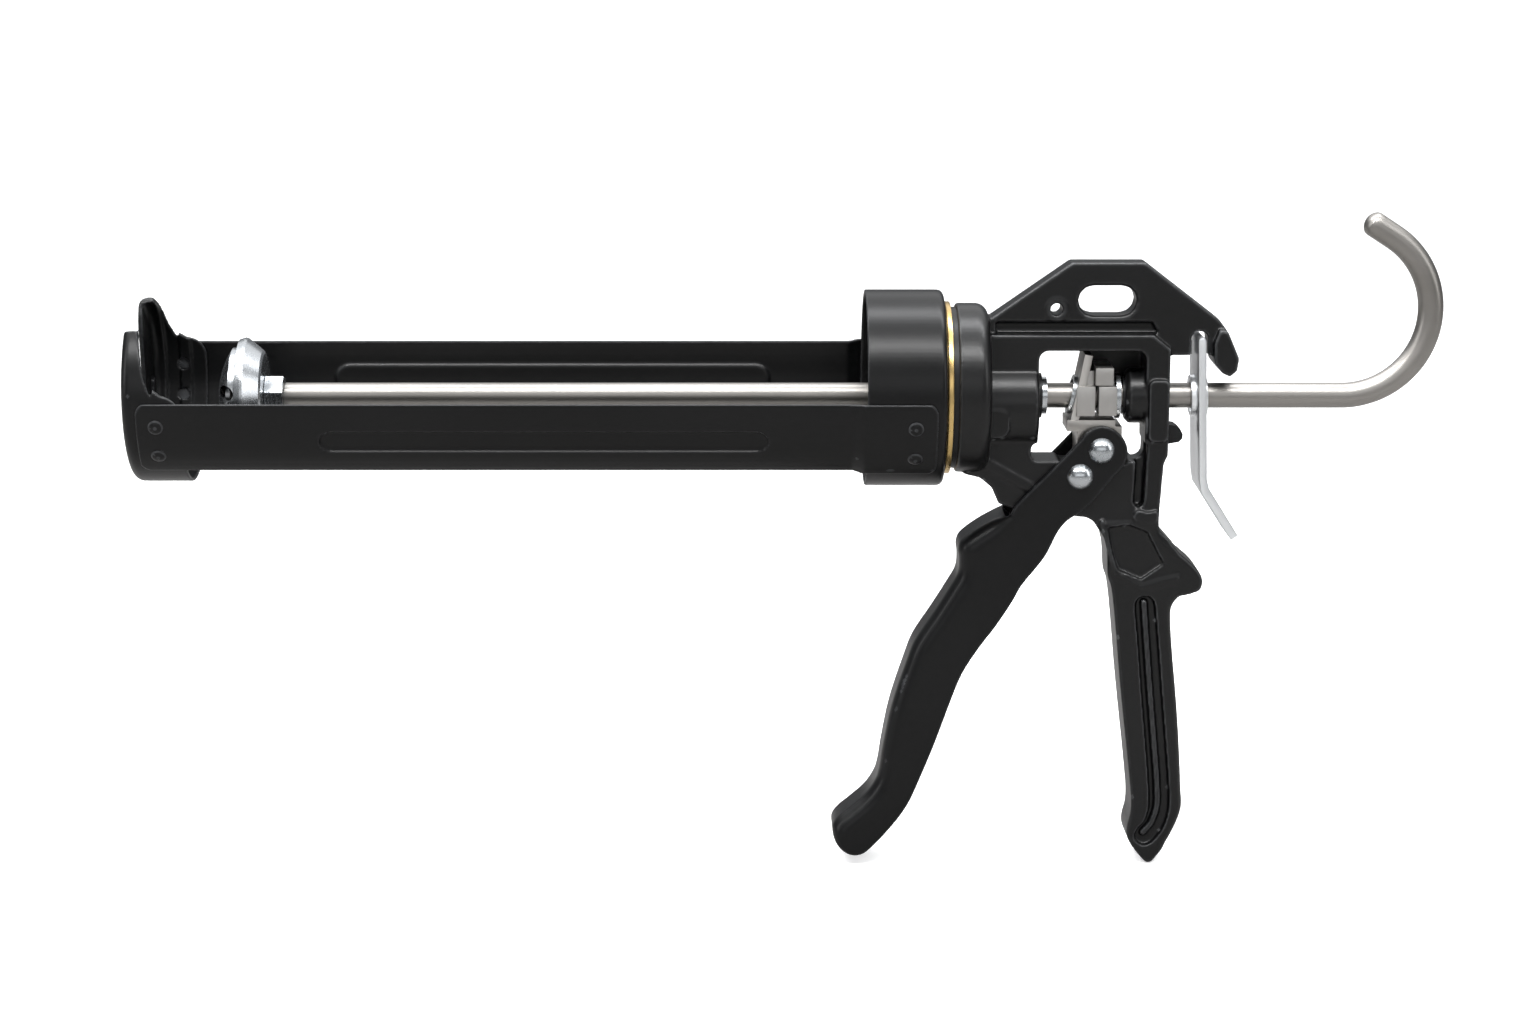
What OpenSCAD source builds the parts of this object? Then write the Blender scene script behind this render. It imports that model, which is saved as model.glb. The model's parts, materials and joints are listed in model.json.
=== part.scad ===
/* Rotating-cradle caulking gun for 310 ml cartridges.
   Origin: centre of the nozzle slot on the cradle axis, at the front face of the cap.
   +X runs back along the gun to the rod hook, +Z is up, the gun is level. */

/* [Cradle] */
// Outside radius of the two side rails
rail_r = 27; // [26:0.5:29]
// Sheet thickness of the cradle parts
sheet = 1; // [0.8:0.1:1.2]
// Rear end of the cradle collar
cradle_len = 224.2; // [220:1:230]
// Width of each side rail, as an arc in degrees
rail_arc = 48; // [40:1:56]
// Turn of the whole cradle about its axis, in degrees
cradle_turn = 11; // [0:1:40]
// Radius of the slot for the cartridge nozzle
slot_r = 9.5; // [8:0.5:11]

/* [Rod and plunger] */
// Radius of the push rod
rod_r = 3.5; // [3:0.1:4]
// Drop of the rod axis below the cradle axis
rod_drop = 2.2; // [0:0.1:3]
// Radius of the bend in the hook, at the rod centre
hook_r = 24; // [20:1:28]
// Radius of the plunger pan
pan_r = 16.1; // [14:0.1:20]

/* [Handle] */
// Half thickness of the cast frame
frame_w = 7.5; // [7:0.1:8]
// Half thickness of the grip
grip_w = 8; // [7:0.1:8]
// Half thickness of the hanging bracket
bracket_w = 4.6; // [4:0.1:5.5]
// Length of the hanging slot
hang_len = 16; // [12:0.5:18]

/* [Trigger] */
// Sheet thickness of the trigger channel
trig_t = 1.8; // [1.5:0.1:2]
// Radius of the pivot and link pins
pin_r = 2.5; // [2:0.1:3]
// Width of the release lever
lever_w = 19.4; // [16:0.2:22]

/* [Hidden] */
$fn = 96;
eps = 0.01;
rod_z = -rod_drop;
clear = 0.3;
rail_in = rail_r - sheet;
joggle = 1.2;
collar_r = rail_in + joggle;
cap_r = rail_in;
pivot = [262, -23.5];
link = [267.8, -16.2];
hook_x = 335.1;
hinge = [294.9, 13.95];
trig_in = frame_w + 0.7;
trig_out = trig_in + trig_t;
yoke_tilt = 11.3;
yoke_at = [261.7, rod_z];

// ---- helpers ----

// Outline drawn in X and Z, thickened evenly about the middle plane
module plate(w) {
  rotate([90, 0, 0])
    linear_extrude(w, center = true)
      children();
}

// Outline drawn as radius and X, turned about the X axis
module turned() {
  rotate([0, 90, 0])
    rotate_extrude()
      children();
}

// Tube along X between two stations
module tube_x(x0, x1, r_out, r_in, z = 0) {
  translate([x0, 0, z])
    rotate([0, 90, 0])
      difference() {
        cylinder(h = x1 - x0, r = r_out);
        if (r_in > 0)
          translate([0, 0, -1])
            cylinder(h = x1 - x0 + 2, r = r_in);
      }
}

// Straight bore along X for the rod
module bore_x(x0, x1, r, z = rod_z) {
  translate([x0, 0, z])
    rotate([0, 90, 0])
      cylinder(h = x1 - x0, r = r);
}

// Pin across the gun, with its middle at Y 0
module pin_y(at, r, len) {
  translate([at[0], 0, at[1]])
    rotate([90, 0, 0])
      cylinder(h = len, r = r, center = true);
}

// Rounded rectangle in X and Z from one corner to the other
module round_rect(a, b, r) {
  for (x = [a[0] + r, b[0] - r], z = [a[1] + r, b[1] - r])
    translate([x, z])
      circle(r);
  translate([a[0] + r, a[1]])
    square([b[0] - a[0] - 2 * r, b[1] - a[1]]);
  translate([a[0], a[1] + r])
    square([b[0] - a[0], b[1] - a[1] - 2 * r]);
}

// Slot with round ends, centred, along X
module obround(len, r) {
  for (s = [-1, 1])
    translate([s * (len / 2 - r), 0])
      circle(r);
  square([len - 2 * r, 2 * r], center = true);
}

// Places children where radius points out at an angle from the cradle bottom
module around(a) {
  rotate([a, 0, 0])
    rotate([180, 0, 0])
      children();
}

// Cut or boss pushed out radially from the cradle axis
module radial(r0, r1) {
  translate([0, 0, r0])
    linear_extrude(r1 - r0)
      children();
}

module cradle_pose() {
  rotate([cradle_turn, 0, 0])
    children();
}

// Domed rivet with its shank, standing out radially
module rivet(head_r, head_h, shank_r, r_in, r_out) {
  ball = (head_r * head_r + head_h * head_h) / (2 * head_h);
  translate([0, 0, r_in])
    cylinder(h = r_out - r_in + 0.2, r = shank_r);
  intersection() {
    translate([0, 0, r_out + head_h - ball])
      sphere(ball);
    translate([0, 0, r_out])
      cylinder(h = head_h + 1, r = head_r);
  }
}

// ---- cradle ----

rail_side = [-76, 76];
rivet_x = [9.5, 215.6];
rivet_off = [10, -10];

// Section of a rail along its length, with the step up onto the collar
module rail_section() {
  polygon([
    [rail_in, 4.1], [rail_r, 4.1], [rail_r, 198.6], [rail_r + joggle, 201.8],
    [rail_r + joggle, 221.6], [rail_in + joggle, 221.6], [rail_in + joggle, 202.2],
    [rail_in, 199]
  ]);
}

// Arc of the turned section, centred on an angle from the cradle bottom
module arc_x(side, span) {
  rotate([side, 0, 0])
    rotate([0, 90, 0])
      rotate([0, 0, -span / 2])
        rotate_extrude(angle = span)
          children();
}

// Radial cutter that rounds one corner of a rail
module corner_cut(sx, sy) {
  r = 3.4;
  over = 0.1;
  x = sx < 0 ? 4.1 - over + r : 221.6 + over - r;
  edge_r = sx < 0 ? rail_r : rail_r + joggle;
  y = sy * (edge_r * sin(rail_arc / 2) + over - r);
  radial(20, 32)
    difference() {
      translate([sx < 0 ? x - r - 1 : x, sy < 0 ? y - r - 2 : y])
        square([r + 1, r + 2]);
      translate([x, y])
        circle(r);
    }
}

// Stiffening bead pressed inwards: span of its arc, inner and outer radius, length, half width
module bead(side, r_in, r_out, len, half) {
  intersection() {
    arc_x(side, 20)
      translate([r_in, 50])
        square([r_out - r_in, 130]);
    around(side)
      radial(5, 32)
        translate([114.6, 0])
          obround(len, half);
  }
}

module rail(side) {
  cradle_pose()
    difference() {
      union() {
        arc_x(side, rail_arc)
          rail_section();
        bead(side, rail_in - 0.8, rail_in + 0.4, 123.4, 3.9);
      }
      bead(side, rail_r - 0.9, rail_r + 1, 122, 3.2);
      for (sx = [-1, 1], sy = [-1, 1])
        around(side)
          corner_cut(sx, sy);
      for (x = rivet_x, a = rivet_off)
        around(side + a)
          translate([x, 0, 20])
            cylinder(h = 12, r = 1.6);
    }
}

module rail_near() { color("#1b1c1d") rail(rail_side[0]); }
module rail_far() { color("#1b1c1d") rail(rail_side[1]); }

module cap_shell() {
  turned()
    difference() {
      union() {
        translate([0, 0])
          square([cap_r - 2.8, 16.2]);
        translate([0, 2.8])
          square([cap_r, 13.4]);
        translate([cap_r - 2.8, 2.8])
          circle(2.8);
      }
      translate([-1, 1.2])
        square([cap_r - 2.6, 3.2]);
      translate([cap_r - 3.6, 3])
        circle(1.8);
      translate([-1, 3])
        square([cap_r - 1.8 + 1, 2]);
      translate([-1, 4.6])
        square([cap_r, 4.2]);
      translate([-1, 8.6])
        square([cap_r - 0.5, 3.4]);
      translate([-1, 11.8])
        square([cap_r, 5]);
    }
}

// Side view of what stays of the cap: round tub with two ears at the front
module cap_side() {
  difference() {
    union() {
      translate([-5, -30])
        square([21.2, 30]);
      translate([-5, -1])
        square([15.6, 7.3]);
      translate([10.6, 0.7])
        circle(5.6);
      polygon([[8, 5], [8.6, 6], [8.9, 8.3], [9.4, 8.2], [10.8, 6.2], [10.8, 5]]);
      polygon([
        [-5, 0], [8.3, 0], [8.3, 6.1], [6.4, 10.6], [4.9, 18.5], [4.1, 21.2], [3.2, 21.9], [-5, 21.9]
      ]);
    }
    translate([14.6, 14.6])
      circle(8.9);
  }
}

module front_cap() {
  color("#161718")
    cradle_pose()
      difference() {
        union() {
          intersection() {
            cap_shell();
            plate(80)
              cap_side();
          }
          difference() {
            tube_x(1, 2.2, 20, 17.6);
            translate([-1, -30, -4])
              cube([5, 60, 40]);
          }
        }
        translate([-5, 0, 0])
          rotate([90, 0, 90])
            linear_extrude(9) {
              circle(slot_r);
              polygon([
                [-slot_r, 0], [slot_r, 0], [slot_r, 14.5], [slot_r + 1, 17.6],
                [slot_r + 3.4, 20.8], [16.5, 22.6], [16.5, 30], [-16.5, 30], [-16.5, 22.6],
                [-slot_r - 3.4, 20.8], [-slot_r - 1, 17.6], [-slot_r, 14.5]
              ]);
            }
        for (s = rail_side, a = rivet_off)
          around(s + a)
            translate([rivet_x[0], 0, 15])
              cylinder(h = 16, r = 1.6);
      }
}

module rear_collar() {
  color("#161718")
    cradle_pose()
      difference() {
        turned()
          difference() {
            union() {
              translate([12.3, 202.4])
                square([collar_r - 12.3, cradle_len - 202.4 - 1.8]);
              translate([12.3, 210])
                square([collar_r - 12.3 - 1.8, cradle_len - 210]);
              translate([collar_r - 1.8, cradle_len - 1.8])
                circle(1.8);
            }
            translate([0, 200])
              square([collar_r - sheet, cradle_len - 201.5]);
          }
        for (s = rail_side, a = rivet_off)
          around(s + a)
            translate([rivet_x[1], 0, 15])
              cylinder(h = 16, r = 1.6);
      }
}

module cradle_rivet(side, off, end) {
  rise = end == 0 ? 0 : joggle;
  inner = end == 0 ? cap_r - 0.9 : collar_r - 0.9;
  color("#1a1b1c")
    cradle_pose()
      around(rail_side[side] + rivet_off[off])
        translate([rivet_x[end], 0, 0])
          rivet(2.1, 0.8, 1.6, inner, rail_r + rise);
}

module rivet_front_near_a() { cradle_rivet(0, 0, 0); }
module rivet_front_near_b() { cradle_rivet(0, 1, 0); }
module rivet_front_far_a() { cradle_rivet(1, 0, 0); }
module rivet_front_far_b() { cradle_rivet(1, 1, 0); }
module rivet_rear_near_a() { cradle_rivet(0, 0, 1); }
module rivet_rear_near_b() { cradle_rivet(0, 1, 1); }
module rivet_rear_far_a() { cradle_rivet(1, 0, 1); }
module rivet_rear_far_b() { cradle_rivet(1, 1, 1); }

// ---- handle casting ----

hub_r = 12;

module frame_outline() {
  polygon([
    [232, 15.6], [281.8, 15.6], [286.6, 11.8], [286.5, -18], [285.4, -20.5], [284.6, -32.5],
    [284.3, -38.5], [290, -45], [276, -47], [269.3, -41.5], [266.2, -36.6], [264, -35.4],
    [257, -35], [252, -35.4], [246, -33.8], [239.7, -31.5], [237.8, -27.1], [234.5, -24.3],
    [230, -23.2], [230, -10]
  ]);
}

module grip_outline() {
  polygon([
    [284.4, -36], [285, -40.5], [295.1, -49.8], [296.9, -52.9], [296.5, -55.9], [294, -57.2],
    [291, -58.1], [288.8, -60.9], [288.5, -64.6], [289.1, -72.8], [291.2, -93.3], [292.6, -113.9],
    [292.7, -119.9], [289.4, -128.1], [285, -134.4], [283.5, -135.2], [281.9, -134], [278.2, -129.1],
    [277.3, -125.7], [278.4, -119.9], [278.2, -113.9], [274.6, -83.4], [272.6, -63.5],
    [271.5, -55.3], [270.5, -52.2], [270.1, -46.5], [269.3, -41.5], [266.2, -36.6]
  ]);
}

module bracket_outline() {
  polygon([
    [232, 16.4], [235.9, 19.1], [259.2, 35.3], [279.5, 35.3], [300.1, 19.5], [302.2, 16.7],
    [305.5, 9.1], [305, 5.6], [303.1, 4], [301, 4.9], [298.7, 7.7], [298.6, 9.6],
    [287.4, 9.6], [283, 14], [232, 14]
  ]);
}

module handle_body() {
  // Round flange the cradle turns against, with a soft rear shoulder
  turned()
    union() {
      translate([0, 227.6])
        square([23.5, 5.4]);
      translate([0, 227.6])
        square([19.9, 9]);
      translate([19.9, 233])
        circle(3.6);
    }
  tube_x(218, 228, hub_r, 0);
  // Boss for the front bush
  tube_x(230, 250.4, 12.3, 0, -4.2);
  plate(2 * frame_w)
    frame_outline();
  plate(2 * grip_w)
    grip_outline();
  plate(2 * bracket_w)
    bracket_outline();
  // Foot of the claw
  plate(2 * frame_w)
    polygon([
      [298.6, 13.2], [298.7, 7.7], [301, 4.9], [303.1, 4], [305, 5.6], [305.5, 9.1],
      [302.2, 16.7], [300, 17]
    ]);
  // Side tab beside the flange
  plate(2 * 12.6)
    round_rect([230, -12.2], [242, -4.6], 2.6);
}

// Parts that reach into the window: the boss of the rear bush and the cover on the far side
module window_parts() {
  tube_x(274.6, 282, 7.7, 0, rod_z);
  translate([0, 9.2, 0])
    plate(1.4)
      round_rect([263, -1], [284, 14], 2);
  translate([0, 8.4, 0])
    plate(3) {
      round_rect([263, 11.6], [284, 14], 1);
      round_rect([280.6, -1], [284, 14], 1.5);
    }
}

module handle_casting() {
  color("#17181a")
    difference() {
      union() {
        difference() {
          handle_body();
          // Window for the drive parts
          plate(40) {
            round_rect([250.4, -18.8], [280, 11.2], 3);
            round_rect([248.6, -18.8], [256, -14.6], 1.5);
            round_rect([257, -19.7], [275, -12], 1);
          }
        }
        window_parts();
      }
      // Steps that part the bracket from the frame bar
      for (s = [-1, 1])
        translate([0, s * (2.8 + 10), 0])
          plate(20)
            polygon([[238.5, 15.7], [283.6, 15.7], [281.6, 18.9], [238.5, 18.9]]);
      // Hang slot and small hole
      plate(40)
        translate([269.2, 24.8])
          obround(hang_len, 4.1);
      pin_y([255.2, 22.4], 1.7, 40);
      // Groove that holds the top of the release lever
      plate(40)
        union() {
          translate([hinge[0], hinge[1]])
            circle(2.35);
          translate([hinge[0] - 2.35, 3])
            square([4.7, hinge[1] - 3]);
        }
      // Rod and bush bores
      bore_x(210, 290, rod_r + clear);
      bore_x(239, 252, 6.2);
      bore_x(272, 288, 5.2);
      // Circlip groove in the hub
      tube_x(219.6, 220.9, 14, 11);
      // Pivot bore, coil pocket and fan for the spring leg
      pin_y(pivot, pin_r, 40);
      translate([pivot[0], -frame_w - 1, pivot[1]])
        rotate([-90, 0, 0])
          cylinder(h = 4.9, r = 4.8);
      translate([pivot[0], -frame_w + 1.4, pivot[1]])
        rotate([90, 0, 0])
          rotate([0, 0, 212])
            rotate_extrude(angle = 50)
              square([24.5, 3]);
      // Lengthwise grooves down both sides of the grip
      for (s = [-1, 1], k = [0, 1])
        translate([0, s * (grip_w + 4), 0])
          plate(10)
            polygon([
              [277.1 + 5.8 * k, -66], [279.9 + 5.8 * k, -66],
              [283.4 + 4.2 * k, -116], [281.2 + 4.2 * k, -119]
            ]);
      // Pockets below the thumb rest
      for (s = [-1, 1])
        translate([0, s * (grip_w + 3.8), 0])
          plate(10)
            polygon([[275.6, -53.5], [281.2, -56.6], [287.4, -52.2], [282, -46], [275.6, -46.5]]);
    }
}

module front_bush() {
  color("#202122")
    difference() {
      tube_x(240, 251.6, 6.2, rod_r + clear, rod_z);
      bore_x(250.6, 252, 5.2);
    }
}

module front_bush_ring() {
  color("#c9ced1")
    tube_x(250.6, 253, 5.2, rod_r + clear, rod_z);
}

module rear_bush() {
  color("#202122")
    tube_x(274, 286.5, 5.2, rod_r + clear, rod_z);
}

// Rivet across the trigger, with a dome at each end
module cross_rivet(at) {
  dome_r = 3.6;
  dome_h = 2.1;
  ball = (dome_r * dome_r + dome_h * dome_h) / (2 * dome_h);
  pin_y(at, pin_r, 2 * trig_out + 0.4);
  for (s = [0, 180])
    translate([at[0], 0, at[1]])
      rotate([0, 0, s])
        rotate([90, 0, 0])
          intersection() {
            translate([0, 0, trig_out + 0.05 + dome_h - ball])
              sphere(ball);
            translate([0, 0, trig_out + 0.05])
              cylinder(h = dome_h + 1, r = dome_r);
          }
}

module pivot_rivet() { color("#cfd3d6") cross_rivet(pivot); }
module link_rivet() { color("#cfd3d6") cross_rivet(link); }

module brass_ring() {
  color("#c9a441")
    tube_x(224.4, 226, 23.9, hub_r);
}

module thrust_washer() {
  color("#0f0f10")
    tube_x(226, 227.6, 22.4, hub_r);
}

module retaining_washer() {
  color("#b9bdc0")
    tube_x(221, 222.4, 17, hub_r);
}

module circlip() {
  color("#3a3b3d")
    difference() {
      tube_x(219.7, 220.8, 13.6, 11);
      translate([219, -3, 0])
        cube([3, 6, 16]);
    }
}

module lever_spring() {
  color("#9aa0a4")
    translate([0, 0, 0])
      plate(7)
        polygon([[292.55, 9.8], [292.9, 9.8], [292.9, 13.6], [292.55, 13.6]]);
}

module lever_bumper() {
  color("#1c1d1e") {
    plate(7)
      polygon([
        [286.56, -9.9], [288.9, -10.2], [290.2, -11.2], [290.9, -12.6], [290.8, -13.9],
        [289.9, -14.8], [286.56, -15.4]
      ]);
  }
}

// ---- rod, plunger ----

module plunger_dome() {
  rim = 13.2;
  rise = 4;
  wall = 1.5;
  ball = (rim * rim + rise * rise) / (2 * rise);
  color("#c3c9cc")
    translate([0, 0, rod_z])
      difference() {
        turned()
          difference() {
            intersection() {
              translate([0, 23.3 + ball])
                circle(ball);
              translate([3.05, 22])
                square([rim - 3.05, 7.5]);
            }
            translate([0, 23.3 + wall + ball])
              intersection() {
                circle(ball);
                translate([0, -ball - 1])
                  square([rim - wall, 12]);
              }
          }
        translate([26.6, 0, 2.2])
          rotate([90, 0, 0])
            cylinder(h = 30, r = 2.2);
      }
}

module plunger_pan() {
  color("#c3c9cc")
    translate([0, 0, rod_z])
      turned()
        polygon([
          [3.05, 34.9], [3.05, 36.1], [11.6, 36.1], [12.5, 35.6], [pan_r - 0.3, 31.6],
          [pan_r, 30.9], [pan_r - 0.5, 29.3], [pan_r - 1.3, 29], [pan_r - 1.6, 30.6],
          [11.4, 34.9]
        ]);
}

module push_rod() {
  color("#a29d96")
    union() {
      bore_x(41.3, hook_x + 0.05, rod_r);
      bore_x(23.9, 41.4, 3);
      translate([hook_x, 0, rod_z + hook_r]) {
        rotate([90, 0, 0])
          rotate([0, 0, -90])
            rotate_extrude(angle = 147)
              translate([hook_r, 0])
                circle(rod_r);
        rotate([0, -57, 0])
          translate([hook_r, 0, 0]) {
            translate([0, 0, -0.05])
              cylinder(h = 7.1, r = rod_r);
            translate([0, 0, 7])
              intersection() {
                translate([0, 0, -1.8])
                  sphere(4);
                cylinder(h = 3, r = rod_r);
              }
          }
      }
    }
}

module plunger_nut() {
  color("#c3c9cc")
    translate([36.2, 0, rod_z])
      rotate([0, 90, 0])
        difference() {
          rotate([0, 0, 14])
            cylinder(h = 5.1, r = 10 / sqrt(3), $fn = 6);
          translate([0, 0, -1])
            cylinder(h = 7, r = 3);
        }
}

module nose_clip() {
  color("#8f9498")
    tube_x(25.6, 26.8, 5, 3, rod_z);
}

// ---- trigger ----

module trigger_outline() {
  polygon([
    [241.9, -36], [237, -34.7], [232.8, -38.5], [229.2, -42.2], [228.7, -44.7], [229, -47.2],
    [228.7, -51.6], [226.4, -55.9], [222.1, -62.9], [216.8, -71.1], [214.3, -77.7], [210.4, -90],
    [208.1, -101.5], [206.7, -109.8], [203.9, -114.8], [199.5, -118.9], [195.6, -122.2],
    [194.1, -124.8], [195.1, -129.1], [198, -132], [200.8, -132.6], [203.6, -131.4],
    [210.6, -124], [215.3, -117.3], [218.9, -109.1], [222.8, -99.3], [227.3, -86.6],
    [230.3, -79.2], [234.9, -71.9], [239.5, -65.7], [244, -58.6], [246.2, -54.5], [252.6, -46.2],
    [256.1, -39.2], [258.5, -36.1], [262.9, -33.1], [266.1, -29.9], [271.5, -23.2],
    [273.8, -20.7], [275.1, -16.8], [273.8, -12.8], [271, -10.2], [267.4, -9.3], [263.8, -10.9],
    [262, -13.2], [253.8, -21.9], [244.4, -31.6]
  ]);
}

// Inside of the channel, left open along the rear and round the casting
module channel_inside() {
  polygon([
    [243.4, -38.4], [237.4, -36.9], [234.4, -40], [231.3, -43.1], [230.8, -44.9], [231.1, -47.4],
    [230.7, -52], [228.3, -56.9], [224, -63.9], [218.8, -72], [216.4, -78.3], [212.5, -90.5],
    [210.2, -101.9], [208.7, -110.5], [205.6, -116.2], [200.9, -120.6], [197.6, -123.6],
    [196.4, -125.6], [197.2, -128.2], [199.2, -130.2], [201.2, -130.4], [240, -130],
    [262, -60], [300, -40], [300, 0], [262, 0], [240, -28], [240.6, -33.8]
  ]);
}

module trigger() {
  color("#1a1b1c")
    difference() {
      plate(2 * trig_out)
        trigger_outline();
      plate(2 * trig_in)
        channel_inside();
      pin_y(pivot, pin_r + 0.05, 60);
      pin_y(link, pin_r, 60);
    }
}

module trigger_spring() {
  coil_r = 3.9;
  wire = 0.45;
  color("#8d9296")
    translate([pivot[0], 0, pivot[1]])
      rotate([90, 0, 0]) {
        for (k = [0 : 2])
          translate([0, 0, frame_w - 2.7 + 0.85 * k])
            rotate_extrude()
              translate([coil_r, 0])
                circle(wire, $fn = 24);
        translate([0, 0, frame_w - 0.8])
          rotate([0, 0, 219])
            translate([coil_r - 0.3, 0, 0])
              rotate([0, 90, 0])
                cylinder(h = 19.5, r = wire, $fn = 24);
      }
}

// ---- drive parts ----

// Frame of the leaning yoke plate, with the rod through its origin
module yoke_frame() {
  translate([yoke_at[0], 0, yoke_at[1]])
    rotate([0, yoke_tilt, 0])
      children();
}

module drive_yoke() {
  color("#8b857c")
    difference() {
      union() {
        yoke_frame()
          translate([-1.1, -6.7, -8.4])
            cube([2.2, 13.4, 20.8]);
        // Open fork that straddles the link pin
        plate(13.8)
          polygon([
            [258.4, -8.1], [271.7, -8.1], [271.7, -9.9], [273.6, -9.9], [273.6, -18.5],
            [270.7, -18.5], [270.7, -11.2],
            [264.9, -11.2], [264.9, -18.5], [261.3, -18.5], [261.3, -11.2], [258.4, -11.2]
          ]);
      }
      yoke_frame()
        bore_x(-5, 5, 4.2, 0);
    }
}

module drive_plate_front() {
  color("#b5b2ab")
    difference() {
      union() {
        translate([260.9, -8, -6.8])
          cube([5, 16, 8.2]);
        translate([261.6, -4.6, 1.3])
          cube([4.2, 9.2, 4]);
      }
      yoke_frame()
        translate([-4, -7, -20])
          cube([5.15, 14, 40]);
      bore_x(255, 270, rod_r + clear);
    }
}

module drive_plate_rear() {
  color("#b5b2ab")
    difference() {
      translate([266.9, -8, -6.8])
        cube([5.1, 16, 8.2]);
      bore_x(265, 275, rod_r + clear);
      translate([265, -3.4, -1])
        cube([9, 6.8, 4]);
    }
}

module drive_block() {
  color("#b0aca4")
    translate([266, -7.6, 1.6])
      cube([5, 15.2, 4.9]);
}

module dished_washer() {
  color("#c9ced1")
    yoke_frame()
      difference() {
        bore_x(-2.15, -1.15, 5.5, 0);
        bore_x(-3, 0, 4.2, 0);
      }
}

module rear_washer() {
  color("#c9ced1")
    tube_x(272.1, 273.3, 6.4, rod_r + clear, rod_z);
}

// ---- release lever ----

module release_lever() {
  t = 2.2;
  color("#ccd1d4")
    translate([hinge[0], 0, hinge[1]])
      rotate([0, -1.7, 0])
        difference() {
          union() {
            plate(lever_w)
              union() {
                translate([0, 0.2])
                  circle(t / 2);
                translate([-t / 2, -38.4])
                  square([t, 38.6]);
                polygon([
                  [-t / 2, -38.4], [t / 2, -38.4], [t / 2 + 0.6, -41], [9.6, -54.4],
                  [7.7, -55.7], [-t / 2 + 0.5, -41.8]
                ]);
              }
            bore_x(-t / 2 - 1.4, t / 2 + 1, 5.8, -16.15);
          }
          bore_x(-6, 6, 4.4, -16.15);
        }
}

handle_casting();
front_bush();
front_bush_ring();
rear_bush();
pivot_rivet();
brass_ring();
thrust_washer();
retaining_washer();
circlip();
lever_spring();
lever_bumper();
rail_near();
rail_far();
front_cap();
rear_collar();
rivet_front_near_a();
rivet_front_near_b();
rivet_front_far_a();
rivet_front_far_b();
rivet_rear_near_a();
rivet_rear_near_b();
rivet_rear_far_a();
rivet_rear_far_b();
plunger_dome();
plunger_pan();
push_rod();
plunger_nut();
nose_clip();
trigger();
link_rivet();
trigger_spring();
drive_yoke();
drive_plate_front();
drive_plate_rear();
drive_block();
dished_washer();
rear_washer();
release_lever();
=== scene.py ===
import json
import math

import bmesh
import bpy
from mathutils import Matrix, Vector


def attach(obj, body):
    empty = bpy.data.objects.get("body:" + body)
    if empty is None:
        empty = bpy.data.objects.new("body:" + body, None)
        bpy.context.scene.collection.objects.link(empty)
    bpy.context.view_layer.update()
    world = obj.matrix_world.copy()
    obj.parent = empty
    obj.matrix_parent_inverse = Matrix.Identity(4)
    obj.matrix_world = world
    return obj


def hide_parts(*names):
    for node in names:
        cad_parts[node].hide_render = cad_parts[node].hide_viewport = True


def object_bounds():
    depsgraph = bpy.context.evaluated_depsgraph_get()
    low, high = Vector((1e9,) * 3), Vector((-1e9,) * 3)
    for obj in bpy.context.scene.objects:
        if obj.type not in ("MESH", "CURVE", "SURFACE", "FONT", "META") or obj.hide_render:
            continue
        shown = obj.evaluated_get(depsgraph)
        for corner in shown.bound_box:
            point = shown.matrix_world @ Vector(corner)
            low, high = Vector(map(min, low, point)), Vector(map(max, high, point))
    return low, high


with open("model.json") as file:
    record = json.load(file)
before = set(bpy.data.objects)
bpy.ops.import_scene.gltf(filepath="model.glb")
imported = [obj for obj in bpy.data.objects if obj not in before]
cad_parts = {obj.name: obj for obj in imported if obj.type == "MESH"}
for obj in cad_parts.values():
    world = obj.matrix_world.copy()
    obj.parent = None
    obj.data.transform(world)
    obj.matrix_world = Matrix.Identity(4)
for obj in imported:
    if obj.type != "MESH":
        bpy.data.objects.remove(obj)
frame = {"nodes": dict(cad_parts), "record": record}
CAD_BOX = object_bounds()

MM = 0.001
NODES = frame["nodes"]
scene = bpy.context.scene
scene.view_settings.view_transform = "Standard"


# ---------------------------------------------------------------- mesh tools


def new_object(name, bm):
    mesh = bpy.data.meshes.new(name)
    bm.to_mesh(mesh)
    bm.free()
    obj = bpy.data.objects.new(name, mesh)
    scene.collection.objects.link(obj)
    return obj


def smooth(points, hard=(), n=5):
    """Closed smooth curve through the points; corners listed in hard stay sharp."""
    count = len(points)
    pts = [Vector(p) for p in points]
    gap = [(pts[(i + 1) % count] - pts[i]).length for i in range(count)]
    tangent = []
    for i in range(count):
        if i in hard:
            tangent.append(None)
            continue
        tangent.append((pts[(i + 1) % count] - pts[i - 1]) / (gap[i - 1] + gap[i]))
    out = []
    for i in range(count):
        a, b, d = pts[i], pts[(i + 1) % count], gap[i]
        chord = (b - a) / d
        ta = tangent[i] or chord
        tb = tangent[(i + 1) % count] or chord
        for k in range(n):
            t = k / n
            h1 = 2 * t**3 - 3 * t**2 + 1
            h2 = t**3 - 2 * t**2 + t
            h3 = -2 * t**3 + 3 * t**2
            h4 = t**3 - t**2
            out.append(tuple(a * h1 + ta * d * h2 + b * h3 + tb * d * h4))
    return out


def area_of(outline):
    total = 0.0
    for i, (x, z) in enumerate(outline):
        x2, z2 = outline[(i + 1) % len(outline)]
        total += x * z2 - x2 * z
    return total / 2


def outward(outline):
    """Outward unit normals at the points of an outline."""
    sign = 1 if area_of(outline) > 0 else -1
    normals = []
    for i in range(len(outline)):
        a = Vector(outline[i - 1])
        b = Vector(outline[(i + 1) % len(outline)])
        d = (b - a).normalized()
        normals.append((d[1] * sign, -d[0] * sign))
    return normals


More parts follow.
